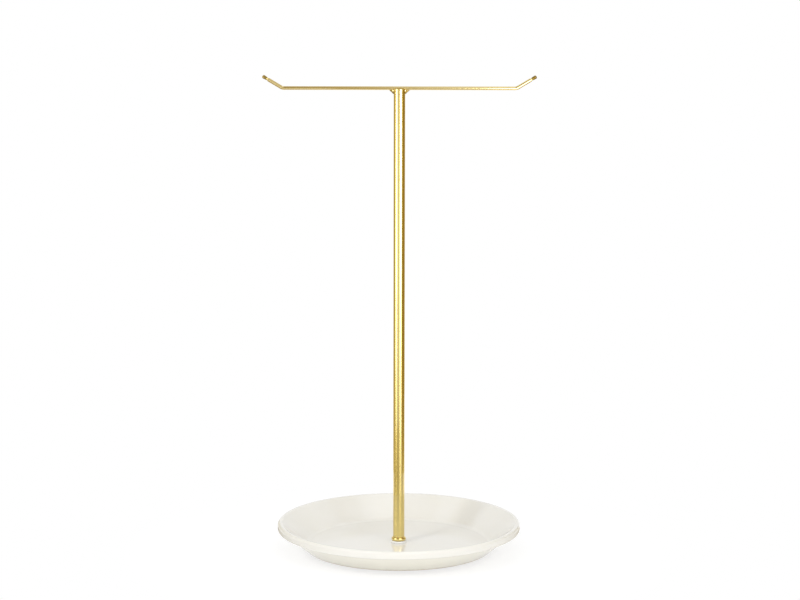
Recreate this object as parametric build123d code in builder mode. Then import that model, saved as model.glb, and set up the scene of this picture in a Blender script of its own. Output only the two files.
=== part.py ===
from build123d import *
import math
import os

# Jewellery holder: a brass T, post and crossbar, that stands on a glazed stoneware dish.
# Millimetres. The origin is on the table under the post, X runs along the crossbar, +Z is up.

os.makedirs("parts", exist_ok=True)

# Glazed dish
rim_diameter = 170.4
dish_height = 18.2
floor_thickness = 3.0
wall_thickness = 3.4
wall_angle = 39.9
lip_height = 5.7
rim_top_width = 3.0
lip_round = 1.9
crest_round = 2.2
lip_root_round = 1.2
well_round = 6.0
base_round = 1.2
hole_edge_break = 0.3

# Silicone pads under the dish
pad_diameter = 12.0
pad_height = 3.0
pad_edge_inset = 9.7
pad_round = 0.9

# Post: brass tube on a turned foot
tube_diameter = 8.0
tube_wall = 1.0
tube_edge_break = 0.2
bead_diameter = 10.2
bead_height = 2.6
bead_round = 1.15
foot_spigot_length = 12.0
seat_washer_diameter = 11.0
seat_washer_thickness = 1.4
seat_washer_round = 0.45

# Screw that clamps the foot through the dish
thread_diameter = 4.0
screw_length = 16.0
screw_head_diameter = 14.0
screw_head_height = 1.5
screw_head_round = 0.5
screw_tip_chamfer = 0.6
hex_across_flats = 2.5
hex_depth = 3.0
rubber_washer_diameter = 16.0
rubber_washer_thickness = 0.8

# Crossbar and its caps
bar_height = 326.0
bar_diameter = 2.5
bar_bend_span = 160.5
arm_length = 16.1
arm_angle = 31.0
bend_radius = 4.0
saddle_depth = 0.9
tip_length = 4.5
tip_diameter = 2.6
tip_shoulder_round = 0.3
tip_groove_width = 0.55
tip_groove_depth = 0.3
tip_pin_diameter = 1.4
tip_pin_length = 2.8

# Closing plug and brazed webs at the top of the post
plug_length = 8.0
plug_chamfer = 0.5
gusset_reach = 3.2
gusset_drop = 2.7
gusset_thickness = 2.4
gusset_round = 0.8

# Clearances: brazed and pressed joints, the thread, and holes that pieces drop through
joint_gap = 0.02
thread_gap = 0.05
hole_clearance = 0.5

# Heights that follow, from the table up
underside_z = pad_height
well_z = underside_z + floor_thickness
rim_z = underside_z + dish_height
lip_low_z = rim_z - lip_height
bead_low_z = well_z + seat_washer_thickness
bead_top_z = bead_low_z + bead_height
head_top_z = underside_z - rubber_washer_thickness
head_low_z = head_top_z - screw_head_height
tube_top_z = bar_height - bar_diameter / 2 + saddle_depth

# Radii that follow: the dish's two walls are parallel, so both start from the rim
rim_radius = rim_diameter / 2
wall_slope = math.tan(math.radians(wall_angle))
wall_across = wall_thickness / math.sin(math.radians(wall_angle))
crest_radius = rim_radius - rim_top_width
well_radius = crest_radius - (rim_z - well_z) / wall_slope
base_radius = well_radius - floor_thickness / wall_slope + wall_across
lip_root_radius = base_radius + (lip_low_z - underside_z) / wall_slope
pad_circle_radius = base_radius - pad_edge_inset - pad_diameter / 2
tube_radius = tube_diameter / 2
tube_bore_radius = tube_radius - tube_wall
bar_radius = bar_diameter / 2
thread_radius = thread_diameter / 2
screw_hole_radius = thread_radius + hole_clearance


def corner(profile, across, up):
    """Return the profile's corner nearest to a point of its own plane."""
    return profile.vertices().sort_by_distance(Vector(across, up))[0]


# Dish, turned about the post's axis
with BuildPart() as dish:
    with BuildSketch(Plane.XZ) as dish_profile:
        with BuildLine():
            Polyline(
                (screw_hole_radius, underside_z),
                (base_radius, underside_z),
                (lip_root_radius, lip_low_z),
                (rim_radius, lip_low_z),
                (rim_radius, rim_z),
                (crest_radius, rim_z),
                (well_radius, well_z),
                (screw_hole_radius, well_z),
                close=True,
            )
        make_face()
        fillet(corner(dish_profile, base_radius, underside_z), base_round)
        fillet(corner(dish_profile, lip_root_radius, lip_low_z), lip_root_round)
        fillet(corner(dish_profile, rim_radius, lip_low_z), lip_round)
        fillet(corner(dish_profile, rim_radius, rim_z), lip_round)
        fillet(corner(dish_profile, crest_radius, rim_z), crest_round)
        fillet(corner(dish_profile, well_radius, well_z), well_round)
        chamfer(corner(dish_profile, screw_hole_radius, underside_z), hole_edge_break)
        chamfer(corner(dish_profile, screw_hole_radius, well_z), hole_edge_break)
    revolve(axis=Axis.Z)
dish.part.label = "dish"
export_step(dish.part, "parts/dish.step")

# Four pads stuck to the flat underside, on a circle, at 45 degrees to the crossbar
pad_places = {"back_right": 45.0, "back_left": 135.0, "front_left": 225.0, "front_right": 315.0}
for place, angle in pad_places.items():
    pad_x = pad_circle_radius * math.cos(math.radians(angle))
    pad_y = pad_circle_radius * math.sin(math.radians(angle))
    with BuildPart() as foot_pad:
        with BuildSketch(Plane.XY):
            with Locations((pad_x, pad_y)):
                Circle(pad_diameter / 2)
        extrude(amount=pad_height)
        fillet(foot_pad.edges().group_by(Axis.Z)[0], pad_round)
    foot_pad.part.label = f"foot_pad_{place}"
    export_step(foot_pad.part, f"parts/foot_pad_{place}.step")

# Soft washer between the clay and the screw's head
with BuildPart() as rubber_washer:
    with BuildSketch(Plane.XY.offset(head_top_z)):
        Circle(rubber_washer_diameter / 2)
        Circle(screw_hole_radius, mode=Mode.SUBTRACT)
    extrude(amount=rubber_washer_thickness)
rubber_washer.part.label = "rubber_washer"
export_step(rubber_washer.part, "parts/rubber_washer.step")

# Flat-headed screw, its shank up through the dish, its hexagon socket open downwards
with BuildPart() as clamp_screw:
    with BuildSketch(Plane.XY.offset(head_low_z)):
        Circle(screw_head_diameter / 2)
    extrude(amount=screw_head_height)
    fillet(clamp_screw.edges().group_by(Axis.Z)[0], screw_head_round)
    with BuildSketch(Plane.XY.offset(head_top_z)):
        Circle(thread_radius)
    extrude(amount=screw_length)
    chamfer(clamp_screw.edges().group_by(Axis.Z)[-1], screw_tip_chamfer)
    with BuildSketch(Plane.XY.offset(head_low_z)):
        RegularPolygon(hex_across_flats / 2, side_count=6, major_radius=False)
    extrude(amount=hex_depth, mode=Mode.SUBTRACT)
clamp_screw.part.label = "clamp_screw"
export_step(clamp_screw.part, "parts/clamp_screw.step")

# White washer that seats the foot on the glaze
with BuildPart() as seat_washer:
    with BuildSketch(Plane.XY.offset(well_z)):
        Circle(seat_washer_diameter / 2)
        Circle(screw_hole_radius, mode=Mode.SUBTRACT)
    extrude(amount=seat_washer_thickness)
    outer_edges = seat_washer.edges().filter_by(GeomType.CIRCLE).group_by(SortBy.RADIUS)[-1]
    fillet(outer_edges, seat_washer_round)
seat_washer.part.label = "seat_washer"
export_step(seat_washer.part, "parts/seat_washer.step")

# Turned foot: a rounded bead under the tube and a tapped spigot inside it
with BuildPart() as post_foot:
    with BuildSketch(Plane.XZ) as foot_profile:
        with BuildLine():
            Polyline(
                (thread_radius + thread_gap, bead_low_z),
                (bead_diameter / 2, bead_low_z),
                (bead_diameter / 2, bead_top_z),
                (tube_bore_radius - joint_gap, bead_top_z),
                (tube_bore_radius - joint_gap, bead_top_z + foot_spigot_length),
                (thread_radius + thread_gap, bead_top_z + foot_spigot_length),
                close=True,
            )
        make_face()
        fillet(corner(foot_profile, bead_diameter / 2, bead_low_z), bead_round)
        fillet(corner(foot_profile, bead_diameter / 2, bead_top_z), bead_round)
    revolve(axis=Axis.Z)
post_foot.part.label = "post_foot"
export_step(post_foot.part, "parts/post_foot.step")

# Tube, notched across its top where the rod lies
with BuildPart() as post_tube:
    with BuildSketch(Plane.XY.offset(bead_top_z)):
        Circle(tube_radius)
        Circle(tube_bore_radius, mode=Mode.SUBTRACT)
    extrude(amount=tube_top_z - bead_top_z)
    rims = post_tube.edges().filter_by(GeomType.CIRCLE).group_by(SortBy.RADIUS)[-1]
    chamfer(rims, tube_edge_break)
    with BuildSketch(Plane.YZ):
        with Locations((0, bar_height)):
            Circle(bar_radius + joint_gap)
    extrude(amount=tube_diameter, both=True, mode=Mode.SUBTRACT)
post_tube.part.label = "post_tube"
export_step(post_tube.part, "parts/post_tube.step")

# Plug that closes the tube, with a saddle for the rod
with BuildPart() as top_plug:
    with BuildSketch(Plane.XY.offset(tube_top_z - plug_length)):
        Circle(tube_bore_radius - joint_gap)
    extrude(amount=plug_length)
    chamfer(top_plug.edges().group_by(Axis.Z)[0], plug_chamfer)
    with BuildSketch(Plane.YZ):
        with Locations((0, bar_height)):
            Circle(bar_radius + joint_gap)
    extrude(amount=tube_diameter, both=True, mode=Mode.SUBTRACT)
top_plug.part.label = "top_plug"
export_step(top_plug.part, "parts/top_plug.step")

# Ends of the rod: each arm leaves its bend upwards and carries a thin pin for its cap
bend_x = bar_bend_span / 2
arm_run = arm_length - tip_length
arm_across = math.cos(math.radians(arm_angle))
arm_up = math.sin(math.radians(arm_angle))
arm_end_x = bend_x + arm_run * arm_across
arm_end_z = bar_height + arm_run * arm_up
sides = {"left": -1, "right": 1}

# Crossbar, one rod with a bend near each end
with BuildPart() as crossbar:
    with BuildLine(Plane.XZ):
        FilletPolyline(
            (-arm_end_x, arm_end_z),
            (-bend_x, bar_height),
            (bend_x, bar_height),
            (arm_end_x, arm_end_z),
            radius=bend_radius,
        )
    with BuildSketch(Plane(origin=(-arm_end_x, 0, arm_end_z), z_dir=(arm_across, 0, -arm_up))):
        Circle(bar_radius)
    sweep()
    for side in sides.values():
        arm_end = Plane(origin=(side * arm_end_x, 0, arm_end_z), z_dir=(side * arm_across, 0, arm_up))
        with BuildSketch(arm_end):
            Circle(tip_pin_diameter / 2)
        extrude(amount=tip_pin_length)
crossbar.part.label = "crossbar"
export_step(crossbar.part, "parts/crossbar.step")

# Caps: a groove at the seam, a rounded shoulder and a round nose, bored for the arm's pin
tip_radius = tip_diameter / 2
tip_bore_radius = tip_pin_diameter / 2 + joint_gap
tip_bore_depth = tip_pin_length + joint_gap
tip_groove_radius = bar_radius - tip_groove_depth
for side_name, side in sides.items():
    tip_plane = Plane(
        origin=(side * arm_end_x, 0, arm_end_z),
        x_dir=(side * arm_across, 0, arm_up),
        z_dir=(0, -side, 0),
    )
    with BuildPart() as bar_tip:
        with BuildSketch(tip_plane) as tip_profile:
            with BuildLine():
                Polyline(
                    (tip_length - tip_radius, tip_radius),
                    (tip_groove_width, tip_radius),
                    (tip_groove_width, tip_groove_radius),
                    (0, tip_groove_radius),
                    (0, tip_bore_radius),
                    (tip_bore_depth, tip_bore_radius),
                    (tip_bore_depth, 0),
                    (tip_length, 0),
                )
                CenterArc((tip_length - tip_radius, 0), tip_radius, 0, 90)
            make_face()
            fillet(corner(tip_profile, tip_groove_width, tip_radius), tip_shoulder_round)
        revolve(axis=Axis(tip_plane.origin, tip_plane.x_dir))
    bar_tip.part.label = f"bar_tip_{side_name}"
    export_step(bar_tip.part, f"parts/bar_tip_{side_name}.step")

# Webs brazed into the corners between the tube and the rod
bar_low_z = bar_height - bar_radius
for side_name, side in sides.items():
    with BuildPart() as gusset:
        with BuildSketch(Plane.XZ):
            with BuildLine():
                Polyline(
                    (0, bar_height),
                    (side * (tube_radius + gusset_reach), bar_height),
                    (side * (tube_radius + gusset_reach), bar_low_z),
                    (side * tube_radius, bar_low_z - gusset_drop),
                    (0, bar_low_z - gusset_drop),
                    close=True,
                )
            make_face()
        extrude(amount=gusset_thickness / 2, both=True)
        slope_middle = Vector(side * (tube_radius + gusset_reach / 2), 0, bar_low_z - gusset_drop / 2)
        sloping_face = gusset.faces().sort_by_distance(slope_middle)[0]
        fillet(sloping_face.edges().filter_by(Axis.Y, reverse=True), gusset_round)
        with BuildSketch(Plane.XY.offset(bar_low_z - gusset_drop)):
            Circle(tube_radius + joint_gap)
        extrude(amount=gusset_drop + bar_diameter, mode=Mode.SUBTRACT)
        with BuildSketch(Plane.YZ):
            with Locations((0, bar_height)):
                Circle(bar_radius + joint_gap)
        extrude(amount=tube_diameter + 2 * gusset_reach, both=True, mode=Mode.SUBTRACT)
    gusset.part.label = f"gusset_{side_name}"
    export_step(gusset.part, f"parts/gusset_{side_name}.step")
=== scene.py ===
import logging
import math
from abc import ABC, abstractmethod
from dataclasses import dataclass, field
from enum import Enum
from typing import Any, Mapping, Sequence

import bmesh
import bpy
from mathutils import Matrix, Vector


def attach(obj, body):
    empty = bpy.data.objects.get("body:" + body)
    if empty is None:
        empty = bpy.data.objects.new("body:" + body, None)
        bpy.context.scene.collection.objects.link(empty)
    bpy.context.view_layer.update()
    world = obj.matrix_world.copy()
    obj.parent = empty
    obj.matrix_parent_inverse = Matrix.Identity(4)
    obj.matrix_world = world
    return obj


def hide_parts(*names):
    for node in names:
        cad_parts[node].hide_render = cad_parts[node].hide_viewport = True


# Looks of the jewellery holder: a brass T that stands on a glazed stoneware dish.
# Sizes are in millimetres until a mesh is made. Scenes, lamps and shaders are in metres.

MM = 0.001
TURN = math.tau
SHARP_EDGE = math.radians(32.0)
MERGE_DISTANCE = 1e-6

# Names under which a mesh carries what the finishes read.
TURNED = "turned"
DRAWN = "drawn"
# Carries the caps' painted shade, a brown that stands in for dark reflections.
PAINTED_SHADE = "patina"

Pair = tuple[float, float]
Colour = tuple[float, float, float]
Point = tuple[float, float, float]

WHITE: Colour = (1.0, 1.0, 1.0)

log = logging.getLogger("jewellery_holder")
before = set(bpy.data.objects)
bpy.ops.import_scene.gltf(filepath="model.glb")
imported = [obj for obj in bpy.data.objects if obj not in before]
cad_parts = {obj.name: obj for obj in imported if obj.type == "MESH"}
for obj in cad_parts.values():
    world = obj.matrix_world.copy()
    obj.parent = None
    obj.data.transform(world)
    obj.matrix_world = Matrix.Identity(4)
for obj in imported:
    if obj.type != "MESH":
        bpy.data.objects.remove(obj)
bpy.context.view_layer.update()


class Wire:
    """An output socket that can stand in a sum: values use Math nodes, vectors and colours Vector Math."""

    def __init__(self, bench: "Bench", socket: bpy.types.NodeSocket) -> None:
        """Keep the socket and the bench that builds its tree."""
        self.bench = bench
        self.socket = socket

    @property
    def is_vector(self) -> bool:
        """Whether the socket carries a vector or a colour."""
        return self.socket.type in {"VECTOR", "RGBA"}

    def __add__(self, other: "Wire | float") -> "Wire":
        """Return self + other."""
        return self.bench.reckon("ADD", self, other)

    def __radd__(self, other: "Wire | float") -> "Wire":
        """Return other + self."""
        return self.bench.reckon("ADD", other, self)

    def __sub__(self, other: "Wire | float") -> "Wire":
        """Return self - other."""
        return self.bench.reckon("SUBTRACT", self, other)

    def __rsub__(self, other: "Wire | float") -> "Wire":
        """Return other - self."""
        return self.bench.reckon("SUBTRACT", other, self)

    def __mul__(self, other: "Wire | float") -> "Wire":
        """Return self * other."""
        return self.bench.reckon("MULTIPLY", self, other)

    def __rmul__(self, other: "Wire | float") -> "Wire":
        """Return other * self."""
        return self.bench.reckon("MULTIPLY", other, self)

    def __truediv__(self, other: "Wire | float") -> "Wire":
        """Return self / other."""
        return self.bench.reckon("DIVIDE", self, other)

    def __pow__(self, other: "Wire | float") -> "Wire":
        """Return self ** other."""
        return self.bench.reckon("POWER", self, other)

    def __gt__(self, other: "Wire | float") -> "Wire":
        """Return 1 where self is above other, and 0 elsewhere."""
        return self.bench.reckon("GREATER_THAN", self, other)


Feed = Wire | float | int | bool | str | tuple | bpy.types.ID


class Bench:
    """Builds one node tree, of a material, a world or a geometry modifier."""

    def __init__(self, tree: bpy.types.NodeTree) -> None:
        """Keep the tree that the nodes go into."""
        self.tree = tree

    def node(
        self,
        kind: str,
        settings: Mapping[str, Any] | None = None,
        sockets: Mapping[str | int, Feed] | None = None,
    ) -> bpy.types.Node:
        """Add a node.

        Args:
            kind: the node's Blender type.
            settings: its own settings, set before the sockets.
            sockets: values or wires for its inputs, by name or by place.

        Returns:
            The new node.
        """
        made = self.tree.nodes.new(kind)
        for name, value in (settings or {}).items():
            setattr(made, name, value)
        shown = [socket for socket in made.inputs if socket.enabled]
        for name, value in (sockets or {}).items():
            socket = shown[name] if isinstance(name, int) else next(s for s in shown if s.name == name)
            self.feed(socket, value)
        return made

    def wire(
        self,
        kind: str,
        settings: Mapping[str, Any] | None = None,
        sockets: Mapping[str | int, Feed] | None = None,
        output: str = "",
    ) -> Wire:
        """Add a node and return one of its outputs.

        Args:
            kind: the node's Blender type.
            settings: as for node().
            sockets: as for node().
            output: the output's name, or nothing for the first one.

        Returns:
            That output as a wire.
        """
        made = self.node(kind, settings, sockets)
        shown = [socket for socket in made.outputs if socket.enabled]
        return Wire(self, next(s for s in shown if not output or s.name == output))

    def feed(self, socket: bpy.types.NodeSocket, value: Feed) -> None:
        """Link a wire to a socket, or set the socket to a plain value.

        Args:
            socket: an input socket of this tree.
            value: a wire, or what the socket's default value takes.
        """
        if isinstance(value, Wire):
            self.tree.links.new(value.socket, socket)
        elif socket.type == "RGBA":
            socket.default_value = (*value[:3], 1.0)
        else:
            socket.default_value = value

    def reckon(self, operation: str, *terms: Wire | float) -> Wire:
        """Work out a sum of wires and numbers.

        Args:
            operation: the Math or Vector Math operation.
            terms: what it is done to, in order.

        Returns:
            The result.
        """
        if any(isinstance(term, Wire) and term.is_vector for term in terms):
            plain = [term if isinstance(term, (Wire, tuple)) else (term,) * 3 for term in terms]
            return self.wire("ShaderNodeVectorMath", {"operation": operation}, dict(enumerate(plain)))
        return self.wire("ShaderNodeMath", {"operation": operation}, dict(enumerate(terms)))

    def parts(self, vector: Wire) -> tuple[Wire, Wire, Wire]:
        """Return the X, Y and Z of a vector."""
        split = self.node("ShaderNodeSeparateXYZ", sockets={0: vector})
        return tuple(Wire(self, socket) for socket in split.outputs)

    def vector(self, x: Feed, y: Feed, z: Feed) -> Wire:
        """Return the vector of three values."""
        return self.wire("ShaderNodeCombineXYZ", sockets={0: x, 1: y, 2: z})

    def length(self, x: Wire, y: Wire) -> Wire:
        """Return the length of a flat vector."""
        return (x * x + y * y) ** 0.5

    def outputs(self, made: bpy.types.Node, *names: str) -> tuple[Wire, ...]:
        """Return the outputs of a node that have these names."""
        return tuple(Wire(self, made.outputs[name]) for name in names)

    def mixed(self, share: Feed, first: Wire, second: Wire) -> Wire:
        """Return the first shader changed to the second one by a share from 0 to 1."""
        return self.wire("ShaderNodeMixShader", sockets={0: share, 1: first, 2: second})


class Paint(Bench):
    """A bench for a surface's shader, with the patterns that the finishes share."""

    def __init__(self, material: bpy.types.Material) -> None:
        """Start from an empty shader tree.

        Args:
            material: the material to build.
        """
        material.use_nodes = True
        super().__init__(material.node_tree)
        self.tree.nodes.clear()

    def place(self) -> Wire:
        """Return the point in the object's own coordinates, in millimetres."""
        return self.wire("ShaderNodeTexCoord", output="Object") * (1 / MM)

    def attribute(self, name: str, output: str = "Vector") -> Wire:
        """Return what the mesh carries under a name."""
        return self.wire("ShaderNodeAttribute", {"attribute_name": name}, output=output)

    def noise(self, where: Wire, size: float, detail: float = 2.0, roughness: float = 0.5) -> Wire:
        """Return smooth noise from 0 to 1.

        Args:
            where: the pattern's coordinates.
            size: the width of one blotch, in the units of the coordinates.
            detail: how many finer octaves are added.
            roughness: how strong the finer octaves are.

        Returns:
            The noise.
        """
        sockets = {"Vector": where, "Scale": 1 / size, "Detail": detail, "Roughness": roughness}
        return self.wire("ShaderNodeTexNoise", {"noise_dimensions": "3D"}, sockets, "Fac")

    def specks(self, where: Wire, spacing: float, radius: float, share: float) -> Wire:
        """Return 1 in scattered round specks and 0 between them.

        Args:
            where: the pattern's coordinates.
            spacing: the mean distance between the places that a speck may take.
            radius: a speck's radius.
            share: the share of those places that have a speck.

        Returns:
            The mask.
        """
        cells = self.node("ShaderNodeTexVoronoi", sockets={"Vector": where, "Scale": 1 / spacing})
        distance, colour = self.outputs(cells, "Distance", "Color")
        chosen = self.ease(self.parts(colour)[0], share + 0.01, share)
        return chosen * self.ease(distance, radius / spacing, 0.6 * radius / spacing)

    def ease(self, value: Wire, low: float, high: float) -> Wire:
        """Step smoothly from 0 to 1.

        Args:
            value: what the step depends on.
            low: where it is still 0.
            high: where it reaches 1, which may lie below low.

        Returns:
            The step.
        """
        settings = {"interpolation_type": "SMOOTHSTEP"}
        start, end = (low, high) if low < high else (high, low)
        risen = self.wire("ShaderNodeMapRange", settings, {0: value, 1: start, 2: end, 3: 0.0, 4: 1.0})
        return risen if low < high else 1 - risen

    def blend(self, share: Feed, first: Feed, second: Feed) -> Wire:
        """Return the first colour changed to the second one by a share from 0 to 1."""
        return self.wire("ShaderNodeMix", {"data_type": "RGBA"}, {"Factor": share, "A": first, "B": second})

    def between(self, share: Feed, first: Feed, second: Feed) -> Wire:
        """Return the first value changed to the second one by a share from 0 to 1."""
        return self.wire("ShaderNodeMix", {"data_type": "FLOAT"}, {"Factor": share, "A": first, "B": second})

    def bump(self, height: Wire) -> Wire:
        """Return the normal of a relief whose height is in millimetres."""
        return self.wire("ShaderNodeBump", sockets={"Strength": 1.0, "Distance": MM, "Height": height})

    def surface(self, sockets: Mapping[str, Feed]) -> None:
        """End the tree in a Principled shader.

        Args:
            sockets: its inputs by name.
        """
        self.end(self.wire("ShaderNodeBsdfPrincipled", sockets=sockets))

    def end(self, shader: Wire) -> None:
        """End the tree in a shader."""
        self.node("ShaderNodeOutputMaterial", sockets={"Surface": shader})

    def glow(self, strength: Feed, colour: Feed = WHITE) -> Wire:
        """Return a shader that gives off light."""
        return self.wire("ShaderNodeEmission", sockets={"Color": colour, "Strength": strength})

    def glow_on_matt(self, strength: Feed, albedo: float) -> Wire:
        """Return a matt grey shader that also gives off light."""
        matt = self.wire("ShaderNodeBsdfDiffuse", sockets={"Color": (albedo,) * 3})
        return self.wire("ShaderNodeAddShader", sockets={0: self.glow(strength), 1: matt})


@dataclass(frozen=True)
class Finish(ABC):
    """How one kind of surface looks. Each finish makes its material once."""

    slot: str

    def material(self) -> bpy.types.Material:
        """Make the finish's material when it is first asked for.

        Returns:
            The material.
        """
        name = f"{self.slot}_finish"
        made = bpy.data.materials.get(name)
        if made is None:
            made = bpy.data.materials.new(name)
            self.paint(Paint(made))
        return made

    @abstractmethod
    def paint(self, paint: Paint) -> None:
        """Build the shader."""


@dataclass(frozen=True)
class GlazedStoneware(Finish):
    """Ivory glaze over pale clay; the flat underside is bare."""

    slot: str = "glazed_stoneware"
    ivory: Colour = (0.885, 0.870, 0.822)
    cream: Colour = (0.867, 0.848, 0.780)
    clay: Colour = (0.56, 0.47, 0.36)
    pale_clay: Colour = (0.68, 0.6, 0.48)
    iron: Colour = (0.34, 0.25, 0.16)
    painted_warm_shade: Colour = (0.90, 0.875, 0.77)
    glaze_line: float = 3.5
    well_corner: float = 65.0
    rim: float = 83.5
    wall_middle: float = 63.1
    wall_slope: float = 0.836
    lip_low: float = 15.5
    crest_low: float = 19.5
    crest_high: float = 21.0
    pool_inwards: float = 7.0
    pool_outwards: float = 6.0
    pool_top: float = 12.0
    pool_level: float = 7.0
    glaze_ior: float = 1.52
    clay_roughness: float = 0.82

    def paint(self, paint: Paint) -> None:
        """Build the glaze, its pooling and ripple, a painted warm shade on the outer wall, and the clay
        below the glaze line.

        Args:
            paint: the bench.
        """
        where = paint.place()
        x, y, z = paint.parts(where)
        radius = paint.length(x, y)

        cloud = paint.noise(where, 38.0, 3.0)
        mottle = paint.noise(where, 6.0, 2.0)
        pooled = paint.ease(radius, self.well_corner - self.pool_inwards, self.well_corner)
        pooled = pooled * paint.ease(radius, self.well_corner + self.pool_outwards, self.well_corner)
        pooled = pooled * paint.ease(z, self.pool_top, self.pool_level)
        thin = paint.ease(radius, self.rim - 1.5, self.rim + 0.5)
        thin = thin * paint.ease(z, self.crest_low, self.crest_high)
        warmth = 0.55 * paint.ease(cloud, 0.35, 0.7) + 0.2 * mottle + 0.25 * pooled + 0.1 * thin
        # Painted shade: the outer wall below the lip is tinted towards a warm cream that stands in for the
        # warm shade it lies in.
        outside = paint.ease(radius - (z - self.glaze_line) / self.wall_slope - self.wall_middle, -1.0, 1.0)
        outside = outside * paint.ease(z, self.lip_low + 0.8, self.lip_low - 0.8)
        freckles = paint.specks(where, 9.0, 0.22, 0.35)
        glaze = paint.blend(warmth, self.ivory, self.cream)
        glaze = paint.blend(0.8 * outside, glaze, self.painted_warm_shade)
        glaze = paint.blend(0.35 * freckles, glaze, self.iron)

        grain = paint.noise(where, 0.7, 4.0, 0.65)
        iron_spots = paint.specks(where, 3.2, 0.3, 0.3)
        clay = paint.blend(0.5 * grain, self.clay, self.pale_clay)
        clay = paint.blend(0.7 * iron_spots, clay, self.iron)

        edge = self.glaze_line + 0.25 * (paint.noise(where, 5.0, 2.0) - 0.5)
        bare = paint.ease(edge - z, -0.05, 0.05)
        clay_skin_and_painted_shade = paint.ease(edge - z, -0.5, 0.0) * (1 - bare)
        colour = paint.blend(0.4 * clay_skin_and_painted_shade, paint.blend(bare, glaze, clay), self.clay)

        peel = paint.noise(where, 2.6, 1.0)
        swell = paint.noise(where, 17.0, 1.0)
        pinholes = paint.specks(where, 7.0, 0.16, 0.3)
        relief = 0.0035 * peel + 0.035 * swell - 0.03 * pinholes
        relief = paint.between(bare, relief, 0.06 * grain - 0.12)
        gloss = 0.06 + 0.04 * paint.noise(where, 24.0, 3.0) + 0.02 * mottle
        paint.surface({
            "Base Color": colour,
            "Roughness": paint.between(bare, gloss, self.clay_roughness),
            "IOR": self.glaze_ior,
            "Normal": paint.bump(relief),
        })


@dataclass(frozen=True)
class Brass(Finish):
    """Brass in general: its colours, and the handling marks that every brass piece shares."""

    bright: Colour = (0.80, 0.64, 0.26)
    deep: Colour = (0.73, 0.56, 0.19)
    edge: Colour = (0.86, 0.72, 0.42)
    gloss: float = 0.12
    marks: float = 0.03
    smear: float = 0.0
    lacquer: float = 1.0
    lacquer_ior: float = 1.9
    lacquer_gloss: float = 0.06
    most_worn: float = 0.85

    def tone(self, paint: Paint, where: Wire, lines: Wire) -> Wire:
        """Return the metal's colour.

        Args:
            paint: the bench.
            where: the point, in millimetres.
            lines: the tool's or the die's lines, from 0 to 1.

        Returns:
            The colour.
        """
        patina = paint.ease(paint.noise(where, 16.0, 3.0), 0.42, 0.75)
        return paint.blend(0.25 * patina + 0.15 * lines, self.bright, self.deep)

    def polish(self, paint: Paint, where: Wire, lines: Wire) -> Wire:
        """Return the roughness: the lines dull the metal a little and fingers smudge it.

        Args:
            paint: the bench.
            where: the point, in millimetres.
            lines: the tool's or the die's lines, from 0 to 1.

        Returns:
            The roughness.
        """
        smudge = paint.ease(paint.noise(where, 9.0, 4.0, 0.6), 0.5, 0.72)
        return self.gloss + self.marks * lines + 0.04 * smudge

    def metal(self, paint: Paint, colour: Wire, roughness: Wire, relief: Wire, worn: Feed = 0.0) -> None:
        """End the tree in brass under clear lacquer.

        Args:
            paint: the bench.
            colour: the metal's colour.
            roughness: its roughness.
            relief: its height in millimetres.
            worn: how worn the lacquer is, from 0 to 1. At 1, most of it is gone.
        """
        paint.surface({
            "Base Color": colour,
            "Metallic": 1.0,
            "Specular Tint": self.edge,
            "Roughness": roughness,
            "Anisotropic": self.smear,
            "Anisotropic Rotation": 0.25,
            "Coat Weight": self.lacquer * (1 - self.most_worn * worn),
            "Coat IOR": self.lacquer_ior,
            "Coat Roughness": self.lacquer_gloss,
            "Normal": paint.bump(relief),
        })


@dataclass(frozen=True)
class DrawnBrass(Brass):
    """Rod pulled through a die: fine lines along its length, which the mesh carries as an attribute."""

    slot: str = "brass_rod"
    line_width: float = 0.22
    stretch: float = 90.0

    def paint(self, paint: Paint) -> None:
        """Build the lengthwise lines.

        Args:
            paint: the bench.
        """
        where = paint.place()
        x, y, along = paint.parts(paint.attribute(DRAWN))
        drawn = paint.vector(x, y, along / self.stretch)
        fine = paint.noise(drawn, self.line_width, 2.0, 0.6)
        broad = paint.noise(drawn, self.line_width * 5, 1.0)
        scratches = paint.ease(paint.noise(paint.vector(x, y, along * 5), 1.7, 3.0), 0.70, 0.74)
        lines = 0.6 * fine + 0.4 * broad
        relief = 0.0005 * fine + 0.0008 * broad - 0.0008 * scratches
        roughness = self.polish(paint, where, lines) + 0.06 * scratches
        self.metal(paint, self.tone(paint, where, lines), roughness, relief)


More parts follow.
